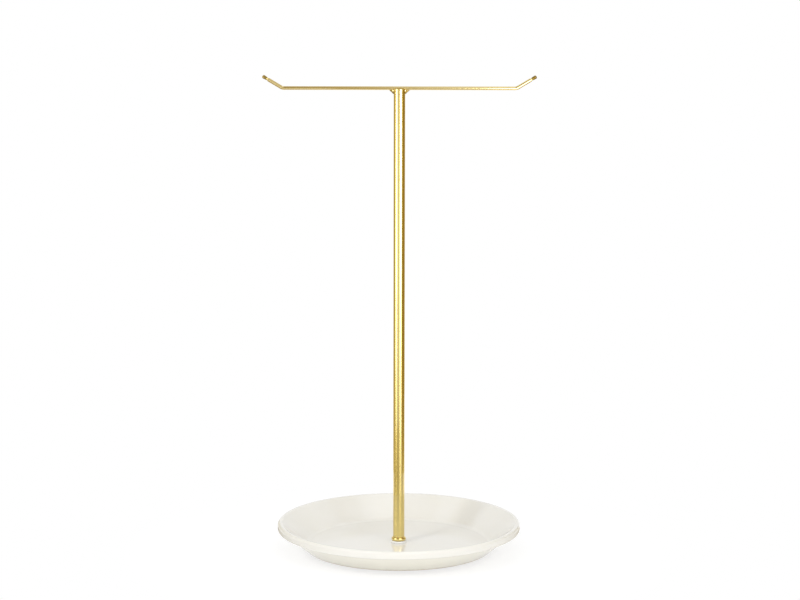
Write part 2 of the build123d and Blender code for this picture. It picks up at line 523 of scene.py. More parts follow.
@dataclass(frozen=True)
class TurnedBrass(Brass):
    """Brass from the lathe: rings round the piece's own axis, which the mesh carries as an attribute.

    A smear above 0 draws reflections out along an upright piece, across the rings.
    """

    slot: str = "turned_brass"
    bright: Colour = (0.80, 0.635, 0.20)
    deep: Colour = (0.73, 0.555, 0.145)
    ring_width: float = 0.09
    ring_height: float = 0.0016
    # Painted shade: a dark brown that stands in for the dark reflections on the bar's caps.
    painted_shade_brown: Colour = (0.29, 0.19, 0.03)
    tarnish: float = 0.45
    collar: float = 1.2
    tip_start: float = 3.8
    tip_lighter: float = 0.3
    fade: float = 0.3

    def paint(self, paint: Paint) -> None:
        """Build the rings from the distance to the axis and the place along it, and the patina.

        The patina attribute is painted shade: a brown that stands in for dark reflections on the bar's
        caps. At full strength it is dull as well as brown and has little lacquer left. It stops short of a
        bright collar at the piece's inner end and is lighter at its tip.

        Args:
            paint: the bench.
        """
        where = paint.place()
        x, y, along = paint.parts(paint.attribute(TURNED))
        rings = paint.noise(paint.vector(paint.length(x, y), along, 0.0), self.ring_width, 2.0, 0.6)
        patina = paint.attribute(PAINTED_SHADE, "Fac")
        patina = patina * paint.ease(along, self.collar - self.fade, self.collar + self.fade)
        tip = paint.ease(along, self.tip_start - self.fade, self.tip_start + self.fade)
        patina = patina * (1 - self.tip_lighter * tip)
        colour = paint.blend(patina, self.tone(paint, where, rings), self.painted_shade_brown)
        roughness = self.polish(paint, where, rings) + self.tarnish * paint.ease(patina, 0.75, 1.0)
        self.metal(paint, colour, roughness, self.ring_height * rings, patina)


@dataclass(frozen=True)
class BrazedBrass(Brass):
    """Filler metal run into a corner: its bead is polished, and the rest is satin and painted dark brown as
    shade.
    """

    slot: str = "brazed_brass"
    heat: Colour = (0.68, 0.48, 0.13)
    # Painted shade: a dark brown that stands in for the dark reflections round the web's highlight.
    clay_skin_and_painted_shade: Colour = (0.24, 0.165, 0.035)
    skin_roughness: float = 0.30
    bead_across: float = 3.9
    bead_up: float = 324.5
    bead_radius: float = 1.1
    fade: float = 0.2

    def paint(self, paint: Paint) -> None:
        """Build the uneven surface, the warm heat tint, and the painted shade, a dark brown round the bead.

        Args:
            paint: the bench.
        """
        where = paint.place()
        x, _, z = paint.parts(where)
        across = paint.reckon("ABSOLUTE", x) - self.bead_across
        up = z - self.bead_up
        away = paint.length(across, up)
        # Painted shade: outside the bead the web is painted dark brown; it is also rougher there and keeps
        # less lacquer.
        painted_shade_off_bead = paint.ease(away, self.bead_radius - self.fade, self.bead_radius + self.fade)
        flow = paint.noise(where, 1.1, 2.0)
        pits = paint.specks(where, 0.55, 0.05, 0.25)
        tint = paint.ease(paint.noise(where, 2.2, 1.0), 0.45, 0.8)
        colour = paint.blend(0.35 * tint, self.tone(paint, where, flow), self.heat)
        colour = paint.blend(painted_shade_off_bead, colour, self.clay_skin_and_painted_shade)
        roughness = self.polish(paint, where, flow) + 0.1 * pits + self.skin_roughness * painted_shade_off_bead
        self.metal(paint, colour, roughness, 0.005 * flow - 0.004 * pits, painted_shade_off_bead)


@dataclass(frozen=True)
class PlatedSteel(Finish):
    """Zinc-plated steel, dull and faintly clouded, with traces of the turning."""

    slot: str = "zinc_plated_steel"
    zinc: Colour = (0.60, 0.61, 0.60)
    stained: Colour = (0.50, 0.49, 0.44)

    def paint(self, paint: Paint) -> None:
        """Build the clouded plating.

        Args:
            paint: the bench.
        """
        where = paint.place()
        x, y, along = paint.parts(paint.attribute(TURNED))
        rings = paint.noise(paint.vector(paint.length(x, y), along, 0.0), 0.16, 2.0)
        crystals = paint.noise(where, 0.45, 3.0, 0.6)
        cloud = paint.ease(paint.noise(where, 4.0, 2.0), 0.4, 0.75)
        paint.surface({
            "Base Color": paint.blend(0.6 * cloud + 0.2 * crystals, self.zinc, self.stained),
            "Metallic": 1.0,
            "Roughness": 0.26 + 0.1 * crystals + 0.08 * cloud,
            "Normal": paint.bump(0.003 * rings + 0.002 * crystals),
        })


@dataclass(frozen=True)
class Moulded(Finish):
    """A moulded or punched plastic or rubber: one colour with fine grain, dust and a soft sheen."""

    slot: str = "white_nylon"
    body: Colour = (0.93, 0.93, 0.915)
    dusty: Colour = (0.85, 0.84, 0.80)
    roughness: float = 0.38
    grain_size: float = 0.3
    grain_height: float = 0.006
    dust: float = 0.25
    milkiness: float = 0.0

    def paint(self, paint: Paint) -> None:
        """Build the grain and the dust.

        Args:
            paint: the bench.
        """
        where = paint.place()
        grain = paint.noise(where, self.grain_size, 3.0, 0.6)
        lint = paint.ease(paint.noise(where, 2.4, 4.0, 0.7), 0.5, 0.75)
        paint.surface({
            "Base Color": paint.blend(self.dust * lint, self.body, self.dusty),
            "Roughness": self.roughness + 0.1 * grain + 0.12 * lint,
            "Subsurface Weight": self.milkiness,
            "Subsurface Radius": (0.0012, 0.0011, 0.001),
            "Subsurface Scale": 1.0,
            "Normal": paint.bump(self.grain_height * grain),
        })


GLAZE = GlazedStoneware()
TUBE_BRASS = TurnedBrass(slot="satin_brass_tube", ring_width=0.3, ring_height=0.00012, gloss=0.18, smear=0.9)
ROD_BRASS = DrawnBrass()
TURNED_BRASS = TurnedBrass(gloss=0.07)
BRAZED = BrazedBrass(gloss=0.10)
ZINC = PlatedSteel()
NYLON = Moulded()
RUBBER = Moulded(
    slot="black_rubber",
    body=(0.022, 0.022, 0.023),
    dusty=(0.16, 0.155, 0.145),
    roughness=0.62,
    grain_size=0.22,
    grain_height=0.02,
    dust=0.35,
)
SILICONE = Moulded(
    slot="clear_silicone",
    body=(0.70, 0.70, 0.67),
    dusty=(0.62, 0.61, 0.57),
    roughness=0.3,
    grain_size=0.5,
    grain_height=0.005,
    dust=0.3,
    milkiness=0.4,
)


@dataclass(frozen=True)
class Corner:
    """A corner of a turned piece's outline: across from the axis, up, and the radius that rounds it."""

    across: float
    up: float
    radius: float = 0.0


@dataclass(frozen=True)
class Outline:
    """Half the section of a turned piece, outwards along the bottom, up the outside and back in."""

    corners: tuple[Corner, ...]
    ring: bool = False
    arc_step: float = 5.0
    longest_run: float = 400.0
    edge_hold: float = 0.12

    @classmethod
    def disc(cls, radius: float, heights: Pair, rounds: Pair) -> "Outline":
        """Return the outline of a solid disc or plug.

        Args:
            radius: its radius.
            heights: those of its lower and its upper face.
            rounds: what rounds its lower and its upper edge.

        Returns:
            The outline, which starts and ends on the axis.
        """
        (low, high), (low_round, high_round) = heights, rounds
        edges = (Corner(radius, low, low_round), Corner(radius, high, high_round))
        return cls((Corner(0.0, low), *edges, Corner(0.0, high)))

    @classmethod
    def sleeve(cls, radii: Pair, heights: Pair, rounds: Pair) -> "Outline":
        """Return the outline of a washer or a tube.

        Args:
            radii: those of its bore and of its outside.
            heights: those of its lower and its upper end.
            rounds: what rounds the edges of its bore and those of its outside.

        Returns:
            The closed outline.
        """
        (bore, outer), (low, high), (bore_round, outer_round) = radii, heights, rounds
        outside = (Corner(outer, low, outer_round), Corner(outer, high, outer_round))
        return cls((Corner(bore, low, bore_round), *outside, Corner(bore, high, bore_round)), ring=True)

    def points(self) -> list[Pair]:
        """Turn the outline into points: rounded corners, and straight runs held close to their ends.

        Returns:
            The points in order. A closed outline ends on its first point.
        """
        count = len(self.corners)
        ends = [self._rounded(index) for index in range(count)]
        found: list[Pair] = []
        for index in range(count if self.ring else count - 1):
            found += ends[index]
            found += self._run(ends[index][-1], ends[(index + 1) % count][0])
        return found + (ends[0][:1] if self.ring else ends[-1])

    def _rounded(self, index: int) -> list[Pair]:
        """Return one corner's arc, or the corner itself where it isn't rounded.

        Args:
            index: the corner's place in the outline.

        Returns:
            The arc's points in order.
        """
        corner = self.corners[index]
        here = Vector((corner.across, corner.up))
        if not corner.radius:
            return [(here.x, here.y)]
        before = self.corners[index - 1]
        after = self.corners[(index + 1) % len(self.corners)]
        back = (Vector((before.across, before.up)) - here).normalized()
        on = (Vector((after.across, after.up)) - here).normalized()
        half = back.angle(on) / 2
        reach = corner.radius / math.tan(half)
        centre = here + (back + on).normalized() * corner.radius / math.sin(half)
        start = here + back * reach - centre
        sweep = start.angle_signed(here + on * reach - centre)
        steps = max(3, math.ceil(abs(math.degrees(sweep)) / self.arc_step))
        arc = []
        for step in range(steps + 1):
            angle = -sweep * step / steps
            turned_x = start.x * math.cos(angle) - start.y * math.sin(angle)
            turned_y = start.x * math.sin(angle) + start.y * math.cos(angle)
            arc.append((centre.x + turned_x, centre.y + turned_y))
        return arc

    def _run(self, start: Pair, end: Pair) -> list[Pair]:
        """Return the points inside a straight run.

        Args:
            start: where it starts.
            end: where it ends.

        Returns:
            A point close to each end, and more where the run is long.
        """
        length = math.dist(start, end)
        if length < 4 * self.edge_hold:
            return []
        inner = length - 2 * self.edge_hold
        pieces = max(1, math.ceil(inner / self.longest_run))
        places = [self.edge_hold + inner * step / pieces for step in range(pieces + 1)]
        shares = [place / length for place in places]
        return [tuple(a + (b - a) * share for a, b in zip(start, end)) for share in shares]


def add_object(name: str, data: bpy.types.ID) -> bpy.types.Object:
    """Make an object and put it in the scene.

    Args:
        name: its name.
        data: its mesh, lamp or camera.

    Returns:
        The object.
    """
    made = bpy.data.objects.new(name, data)
    bpy.context.scene.collection.objects.link(made)
    return made


class ShapeTree(ABC):
    """A Geometry Nodes tree with named inputs that makes or cuts a mesh."""

    name = ""
    inputs: Mapping[str, str] = {}

    def __init__(self) -> None:
        """Make the tree: its named inputs, its nodes, and the end that sets the finish."""
        self.tree = bpy.data.node_groups.new(self.name, "GeometryNodeTree")
        self.identifiers: dict[str, str] = {}
        for name, kind in {"Start": "Geometry", **self.inputs, "Finish": "Material"}.items():
            socket = self.tree.interface.new_socket(name, in_out="INPUT", socket_type=f"NodeSocket{kind}")
            self.identifiers[name] = socket.identifier
        self.tree.interface.new_socket("Piece", in_out="OUTPUT", socket_type="NodeSocketGeometry")
        bench = Bench(self.tree)
        entry = bench.node("NodeGroupInput")
        given = {socket.name: Wire(bench, socket) for socket in entry.outputs if socket.name}
        shaped = self.smooth(bench, self.shape(bench, given))
        whole = bench.wire("GeometryNodeRealizeInstances", sockets={0: shaped})
        dressed = bench.wire("GeometryNodeSetMaterial", sockets={0: whole, "Material": given["Finish"]})
        bench.node("NodeGroupOutput", sockets={0: dressed})

    @abstractmethod
    def shape(self, bench: Bench, given: Mapping[str, Wire]) -> Wire:
        """Build the nodes that shape the piece and return its geometry."""

    def smooth(self, bench: Bench, mesh: Wire) -> Wire:
        """Shade the piece smooth, apart from its sharp edges.

        Args:
            bench: the bench.
            mesh: the piece.

        Returns:
            The shaded piece.
        """
        angle = bench.wire("GeometryNodeInputMeshEdgeAngle", output="Unsigned Angle")
        rounded = bench.wire("GeometryNodeSetShadeSmooth", {"domain": "FACE"}, {0: mesh})
        sharp = {0: rounded, "Selection": angle > SHARP_EDGE, "Shade Smooth": False}
        return bench.wire("GeometryNodeSetShadeSmooth", {"domain": "EDGE"}, sharp)

    def carry(self, bench: Bench, mesh: Wire, name: str, kind: str, domain: str, value: Wire) -> Wire:
        """Store a field on a mesh or a curve.

        Args:
            bench: the bench.
            mesh: the mesh or the curve.
            name: the name that the field is stored under.
            kind: its data type.
            domain: what has a value of its own, such as "POINT".
            value: the field.

        Returns:
            The mesh or the curve with the field on it.
        """
        settings = {"data_type": kind, "domain": domain}
        sockets = {0: mesh, "Name": name, "Value": value}
        return bench.wire("GeometryNodeStoreNamedAttribute", settings, sockets)

    def carry_place(self, bench: Bench, mesh: Wire) -> Wire:
        """Store where each point is, in millimetres, while the piece still stands on its own axis."""
        millimetres = bench.wire("GeometryNodeInputPosition") * (1 / MM)
        return self.carry(bench, mesh, TURNED, "FLOAT_VECTOR", "POINT", millimetres)

    def carried(self, bench: Bench, name: str, kind: str = "FLOAT") -> Wire:
        """Return a field that the mesh carries."""
        return bench.wire("GeometryNodeInputNamedAttribute", {"data_type": kind}, {"Name": name})

    def merge(self, bench: Bench, mesh: Wire) -> Wire:
        """Join the points that lie in one place."""
        return bench.wire("GeometryNodeMergeByDistance", sockets={0: mesh, "Distance": MERGE_DISTANCE})

    def cut(self, bench: Bench, mesh: Wire, sizes: Mapping[str, Feed], placing: Mapping[str, Feed]) -> Wire:
        """Take a cylinder or a prism out of a piece.

        Args:
            bench: the bench.
            mesh: the piece.
            sizes: the number of the cylinder's sides, its radius and its depth.
            placing: where the cylinder lies.

        Returns:
            What is left of the piece.
        """
        cylinder = bench.wire("GeometryNodeMeshCylinder", {"fill_type": "NGON"}, sizes, "Mesh")
        cutter = bench.wire("GeometryNodeTransform", sockets={0: cylinder, **placing})
        settings = {"operation": "DIFFERENCE", "solver": "EXACT"}
        return bench.wire("GeometryNodeMeshBoolean", settings, {0: mesh, 1: cutter}, "Mesh")

    def make(self, name: str, start: bpy.types.Mesh, finish: Finish, **sizes: Feed) -> bpy.types.Object:
        """Run the tree on a start mesh and keep the result as a plain mesh.

        Args:
            name: the piece's name.
            start: the mesh that the tree starts from.
            finish: what the piece is dressed in.
            sizes: the tree's other inputs, in lower case with _ for a space.

        Returns:
            The finished object, with no modifier on it.
        """
        piece = add_object(name, start)
        modifier = piece.modifiers.new(self.tree.name, "NODES")
        modifier.node_group = self.tree
        for key, value in sizes.items():
            modifier[self.identifiers[key.replace("_", " ").title()]] = value
        modifier[self.identifiers["Finish"]] = finish.material()
        graph = bpy.context.evaluated_depsgraph_get()
        mesh = bpy.data.meshes.new_from_object(
            piece.evaluated_get(graph), preserve_all_data_layers=True, depsgraph=graph
        )
        piece.modifiers.remove(modifier)
        mesh.name = name
        piece.data = mesh
        bpy.data.meshes.remove(start)
        return piece

    def rework(self, name: str, blank: bpy.types.Object, finish: Finish, **sizes: Feed) -> bpy.types.Object:
        """Run the tree on a piece that another tree has made.

        Args:
            name: the finished piece's name.
            blank: the piece to work on, which is used up.
            finish: what the piece is dressed in.
            sizes: as for make().

        Returns:
            The finished object.
        """
        start = blank.data
        bpy.data.objects.remove(blank)
        return self.make(name, start, finish, **sizes)


class TurnedShape(ShapeTree):
    """Turns an outline about the upright axis, then puts the piece in its place."""

    name = "turned_shape"
    inputs = {
        "Around Steps": "Int",
        "Wobble": "Float",
        "Wobble Seed": "Int",
        "Thread Depth": "Float",
        "Thread Pitch": "Float",
        "Thread Low": "Float",
        "Thread High": "Float",
        "Patina": "Float",
        "Place": "Vector",
        "Turn": "Rotation",
    }

    def shape(self, bench: Bench, given: Mapping[str, Wire]) -> Wire:
        """Wrap a grid round the axis: its columns go round and its rows follow the outline.

        Args:
            bench: the bench.
            given: the tree's inputs.

        Returns:
            The piece in its place.
        """
        rows = bench.wire("GeometryNodeAttributeDomainSize", {"component": "MESH"}, {0: given["Start"]})
        columns = given["Around Steps"]
        sizes = {"Size X": 1.0, "Size Y": 1.0, "Vertices X": columns + 1, "Vertices Y": rows}
        grid = bench.node("GeometryNodeMeshGrid", sockets=sizes)
        sheet, chart = bench.outputs(grid, "Mesh", "UV Map")

        index = bench.wire("GeometryNodeInputIndex")
        column = bench.reckon("FLOOR", (index + 0.5) / rows)
        row = index - column * rows
        position = bench.wire("GeometryNodeInputPosition")
        sampling = {"data_type": "FLOAT_VECTOR", "domain": "POINT"}
        sockets = {"Geometry": given["Start"], "Value": position, "Index": row}
        across, _, up = bench.parts(bench.wire("GeometryNodeSampleIndex", sampling, sockets))

        angle = column / columns * TURN
        cosine, sine = bench.reckon("COSINE", angle), bench.reckon("SINE", angle)
        circle = bench.vector(cosine, sine, 0.0)
        sockets = {"Vector": circle, "W": given["Wobble Seed"], "Scale": 1.2, "Detail": 1.0}
        wobble = bench.wire("ShaderNodeTexNoise", {"noise_dimensions": "4D"}, sockets, "Fac")
        radius = across * (1 - given["Wobble"] * wobble) - self.thread(bench, given, up, column / columns)
        place = bench.vector(radius * cosine, radius * sine, up)
        turned = bench.wire("GeometryNodeSetPosition", sockets={0: sheet, "Position": place})
        turned = self.carry(bench, turned, "UVMap", "FLOAT2", "CORNER", chart)
        marked = self.carry_place(bench, self.merge(bench, turned))
        # The painted shade of a cap; the other pieces have none.
        marked = self.carry(bench, marked, PAINTED_SHADE, "FLOAT", "POINT", given["Patina"])
        placing = {0: marked, "Translation": given["Place"], "Rotation": given["Turn"]}
        return bench.wire("GeometryNodeTransform", sockets=placing)

    def thread(self, bench: Bench, given: Mapping[str, Wire], up: Wire, share: Wire) -> Wire:
        """Return how deep the thread's groove is at a height and a share of a turn.

        Args:
            bench: the bench.
            given: the tree's inputs.
            up: the height.
            share: the share of a full turn, from 0 to 1.

        Returns:
            The depth, 0 outside the threaded length.
        """
        phase = bench.reckon("FRACT", up / given["Thread Pitch"] - share + 1.0)
        groove = 1 - bench.reckon("ABSOLUTE", 2 * phase - 1)
        inside = (up > given["Thread Low"]) * (1 - (up > given["Thread High"]))
        return given["Thread Depth"] * groove * inside


class SaddleCut(ShapeTree):
    """Files a round notch along X across a turned piece, where a rod lies in it."""

    name = "saddle_cut"
    inputs = {"Notch Radius": "Float", "Notch Height": "Float", "Notch Length": "Float"}

    def shape(self, bench: Bench, given: Mapping[str, Wire]) -> Wire:
        """Take a lying cylinder out of the piece.

        Args:
            bench: the bench.
            given: the tree's inputs.

        Returns:
            The notched piece.
        """
        sizes = {"Vertices": 96, "Radius": given["Notch Radius"], "Depth": given["Notch Length"]}
        place = bench.vector(0.0, 0.0, given["Notch Height"])
        lying = {"Rotation": (0.0, TURN / 4, 0.0), "Translation": place}
        return self.carry_place(bench, self.merge(bench, self.cut(bench, given["Start"], sizes, lying)))


class HexSocket(ShapeTree):
    """Sinks a hexagon socket upwards into the underside of a screw's head."""

    name = "hex_socket"
    inputs = {"Across Flats": "Float", "Low": "Float", "Depth": "Float"}

    def shape(self, bench: Bench, given: Mapping[str, Wire]) -> Wire:
        """Take a six-sided prism out of the head.

        Args:
            bench: the bench.
            given: the tree's inputs.

        Returns:
            The screw with its socket.
        """
        corner = given["Across Flats"] / 2 / math.cos(TURN / 12)
        sizes = {"Vertices": 6, "Radius": corner, "Depth": 2 * given["Depth"]}
        upright = {"Translation": bench.vector(0.0, 0.0, given["Low"])}
        return self.carry_place(bench, self.cut(bench, given["Start"], sizes, upright))


class BentRod(ShapeTree):
    """Runs a round section along a path whose corners are bent to one radius."""

    name = "bent_rod"
    inputs = {"Bend Radius": "Float", "Bend Steps": "Int", "Around Steps": "Int"}

    def shape(self, bench: Bench, given: Mapping[str, Wire]) -> Wire:
        """Round the path's bends, sweep the section and keep the place along and round the rod.

        Args:
            bench: the bench.
            given: the tree's inputs.

        Returns:
            The rod.
        """
        path = bench.wire("GeometryNodeMeshToCurve", sockets={0: given["Start"]})
        radius = self.carried(bench, "bend") * given["Bend Radius"]
        sockets = {0: path, "Radius": radius, "Count": given["Bend Steps"]}
        bent = bench.wire("GeometryNodeFilletCurve", {"mode": "POLY"}, sockets)
        length = bench.wire("GeometryNodeSplineParameter", output="Length")
        bent = self.carry(bench, bent, "along", "FLOAT", "POINT", length * (1 / MM))
        sockets = {"Resolution": given["Around Steps"], "Radius": 1.0}
        ring = bench.wire("GeometryNodeCurvePrimitiveCircle", {"mode": "RADIUS"}, sockets)
        section = bench.wire("GeometryNodeInputPosition")
        ring = self.carry(bench, ring, "across", "FLOAT_VECTOR", "POINT", section)
        sockets = {0: bent, 1: ring, "Scale": self.carried(bench, "girth"), "Fill Caps": True}
        rod = bench.wire("GeometryNodeCurveToMesh", sockets=sockets)
        section_x, section_y, _ = bench.parts(self.carried(bench, "across", "FLOAT_VECTOR"))
        drawn = bench.vector(section_x, section_y, self.carried(bench, "along"))
        return self.carry(bench, rod, DRAWN, "FLOAT_VECTOR", "POINT", drawn)


def wire_mesh(name: str, points: Sequence[Point], **attributes: Sequence[float]) -> bpy.types.Mesh:
    """Make a mesh of points joined in a row, for a tree to start from.

    Args:
        name: the mesh's name.
        points: the points in order, in millimetres.
        attributes: a value for each point, by the attribute's name.

    Returns:
        The mesh.
    """
    mesh = bpy.data.meshes.new(name)
    vertices = [tuple(value * MM for value in point) for point in points]
    mesh.from_pydata(vertices, [(index, index + 1) for index in range(len(points) - 1)], [])
    for key, values in attributes.items():
        layer = mesh.attributes.new(key, "FLOAT", "POINT")
        layer.data.foreach_set("value", list(values))
    return mesh


class Node(Enum):
    """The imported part's nodes that the pieces stand for."""

    DISH = "dish"
    TUBE = "post_tube"
    FOOT = "post_foot"
    SEAT_WASHER = "seat_washer"
    PLUG = "top_plug"
    GUSSET_LEFT = "gusset_left"
    GUSSET_RIGHT = "gusset_right"
    CROSSBAR = "crossbar"
    TIP_LEFT = "bar_tip_left"
    TIP_RIGHT = "bar_tip_right"
    SCREW = "clamp_screw"
    RUBBER_WASHER = "rubber_washer"
    PAD_BACK_LEFT = "foot_pad_back_left"
    PAD_BACK_RIGHT = "foot_pad_back_right"
    PAD_FRONT_LEFT = "foot_pad_front_left"
    PAD_FRONT_RIGHT = "foot_pad_front_right"


@dataclass
class Workshop:
    """The shape trees, made once and shared by the sub-assemblies, and the list of brass pieces."""

    turning: TurnedShape = field(default_factory=TurnedShape)
    saddling: SaddleCut = field(default_factory=SaddleCut)
    socketing: HexSocket = field(default_factory=HexSocket)
    bending: BentRod = field(default_factory=BentRod)
    brass: bpy.types.Collection = field(default_factory=lambda: bpy.data.collections.new("brass_pieces"))

    def turn(
        self, name: str, outline: Outline, finish: Finish, around: int, **sizes: Feed
    ) -> bpy.types.Object:
        """Turn a piece from its outline.

        Args:
            name: the piece's name.
            outline: its half section, in millimetres.
            finish: what it is dressed in.
            around: how many faces go round it.
            sizes: more inputs of the turning tree.

        Returns:
            The piece.
        """
        start = wire_mesh(name, [(across, 0.0, up) for across, up in outline.points()])
        plain = {"wobble": 0.0, "thread_depth": 0.0, "thread_pitch": MM}
        return self.turning.make(name, start, finish, around_steps=around, **{**plain, **sizes})


@dataclass
class SubAssembly(ABC):
    """A group of pieces that are made together."""

    shop: Workshop

    @abstractmethod
    def build(self) -> None:
        """Make every piece of the group and put it on the part's body."""

    def hand_in(self, piece: bpy.types.Object, node: Node, finish: Finish) -> None:
        """Put a piece on the part's body in the place of its node.

        Args:
            piece: the finished object.
            node: the node that it stands for.
            finish: what it is dressed in.
        """
        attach(piece, "root")
        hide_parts(node.value)
        if isinstance(finish, Brass):
            self.shop.brass.objects.link(piece)
        log.info("%s: %d faces in %s", piece.name, len(piece.data.polygons), finish.slot)


@dataclass
class Dish(SubAssembly):
    """The glazed dish: a flat well, a sloping wall and an upright lip."""

    rim_radius: float = 85.2
    rim_top_width: float = 3.0
    underside: float = 3.0
    height: float = 18.2
    floor_thickness: float = 3.0
    wall_thickness: float = 3.4
    wall_angle: float = 39.9
    lip_height: float = 5.7
    lip_round: float = 1.9
    crest_round: float = 2.2
    lip_root_round: float = 1.2
    well_round: float = 6.0
    base_round: float = 1.2
    hole_radius: float = 2.5
    hole_round: float = 0.3
    wobble: float = 0.0012

    def build(self) -> None:
        """Make the dish."""
        rim = self.underside + self.height
        well = self.underside + self.floor_thickness
        lip_low = rim - self.lip_height
        slope = math.tan(math.radians(self.wall_angle))
        wall_across = self.wall_thickness / math.sin(math.radians(self.wall_angle))
        crest_radius = self.rim_radius - self.rim_top_width
        well_radius = crest_radius - (rim - well) / slope
        base_radius = well_radius - self.floor_thickness / slope + wall_across
        root_radius = base_radius + (lip_low - self.underside) / slope
        outline = Outline(
            (
                Corner(self.hole_radius, self.underside, self.hole_round),
                Corner(base_radius, self.underside, self.base_round),
                Corner(root_radius, lip_low, self.lip_root_round),
                Corner(self.rim_radius, lip_low, self.lip_round),
                Corner(self.rim_radius, rim, self.lip_round),
                Corner(crest_radius, rim, self.crest_round),
                Corner(well_radius, well, self.well_round),
                Corner(self.hole_radius, well, self.hole_round),
            ),
            ring=True,
            longest_run=4.0,
        )
        uneven = {"wobble": self.wobble, "wobble_seed": 7}
        dish = self.shop.turn("glazed_dish", outline, GLAZE, around=288, **uneven)
        self.hand_in(dish, Node.DISH, GLAZE)


@dataclass
class Pads(SubAssembly):
    """Four silicone pads stuck under the dish."""

    diameter: float = 12.0
    height: float = 3.0
    edge_round: float = 0.9
    glued_round: float = 0.15
    circle_radius: float = 50.0335

    def build(self) -> None:
        """Make the four pads, each at 45 degrees to the crossbar."""
        rounds = (self.edge_round, self.glued_round)
        outline = Outline.disc(self.diameter / 2, (0.0, self.height), rounds)
        angles = {
            Node.PAD_BACK_RIGHT: 45.0,
            Node.PAD_BACK_LEFT: 135.0,
            Node.PAD_FRONT_LEFT: 225.0,
            Node.PAD_FRONT_RIGHT: 315.0,
        }
        for node, angle in angles.items():
            across = self.circle_radius * MM * math.cos(math.radians(angle))
            back = self.circle_radius * MM * math.sin(math.radians(angle))
            name = node.value.replace("foot_pad", "silicone_pad")
            pad = self.shop.turn(name, outline, SILICONE, around=64, place=(across, back, 0.0))
            self.hand_in(pad, node, SILICONE)


@dataclass
class Clamp(SubAssembly):
    """The screw and the soft washer that hold the post from below."""

    head_low: float = 0.7
    head_top: float = 2.2
    head_diameter: float = 14.0
    head_round: float = 0.5
    neck_round: float = 0.2
    thread_diameter: float = 4.0
    thread_pitch: float = 0.7
    thread_depth: float = 0.38
    thread_low: float = 7.0
    screw_length: float = 16.0
    tip_round: float = 0.5
    hex_across_flats: float = 2.5
    hex_depth: float = 3.0
    washer_top: float = 3.0
    washer_diameter: float = 16.0
    washer_bore: float = 5.0
    washer_rounds: Pair = (0.06, 0.12)

    def build(self) -> None:
        """Make the screw and the washer."""
        self.make_screw()
        self.make_washer()

    def make_screw(self) -> None:
        """Turn the screw, roll its thread and sink its socket."""
        shank = self.thread_diameter / 2
        tip = self.head_top + self.screw_length
        outline = Outline(
            (
                Corner(0.0, self.head_low),
                Corner(self.head_diameter / 2, self.head_low, self.head_round),
                Corner(self.head_diameter / 2, self.head_top, self.neck_round),
                Corner(shank, self.head_top, self.neck_round),
                Corner(shank, tip, self.tip_round),
                Corner(0.0, tip),
            ),
            longest_run=self.thread_pitch / 8,
        )
        blank = self.shop.turn(
            "clamp_screw_blank",
            outline,
            ZINC,
            around=72,
            thread_depth=self.thread_depth * MM,
            thread_pitch=self.thread_pitch * MM,
            thread_low=self.thread_low * MM,
            thread_high=(tip - self.tip_round) * MM,
        )
        screw = self.shop.socketing.rework(
            "zinc_clamp_screw",
            blank,
            ZINC,
            across_flats=self.hex_across_flats * MM,
            low=self.head_low * MM,
            depth=self.hex_depth * MM,
        )
        self.hand_in(screw, Node.SCREW, ZINC)

    def make_washer(self) -> None:
        """Punch the rubber washer."""
        radii = (self.washer_bore / 2, self.washer_diameter / 2)
        outline = Outline.sleeve(radii, (self.head_top, self.washer_top), self.washer_rounds)
        washer = self.shop.turn("rubber_clamp_washer", outline, RUBBER, around=96)
        self.hand_in(washer, Node.RUBBER_WASHER, RUBBER)


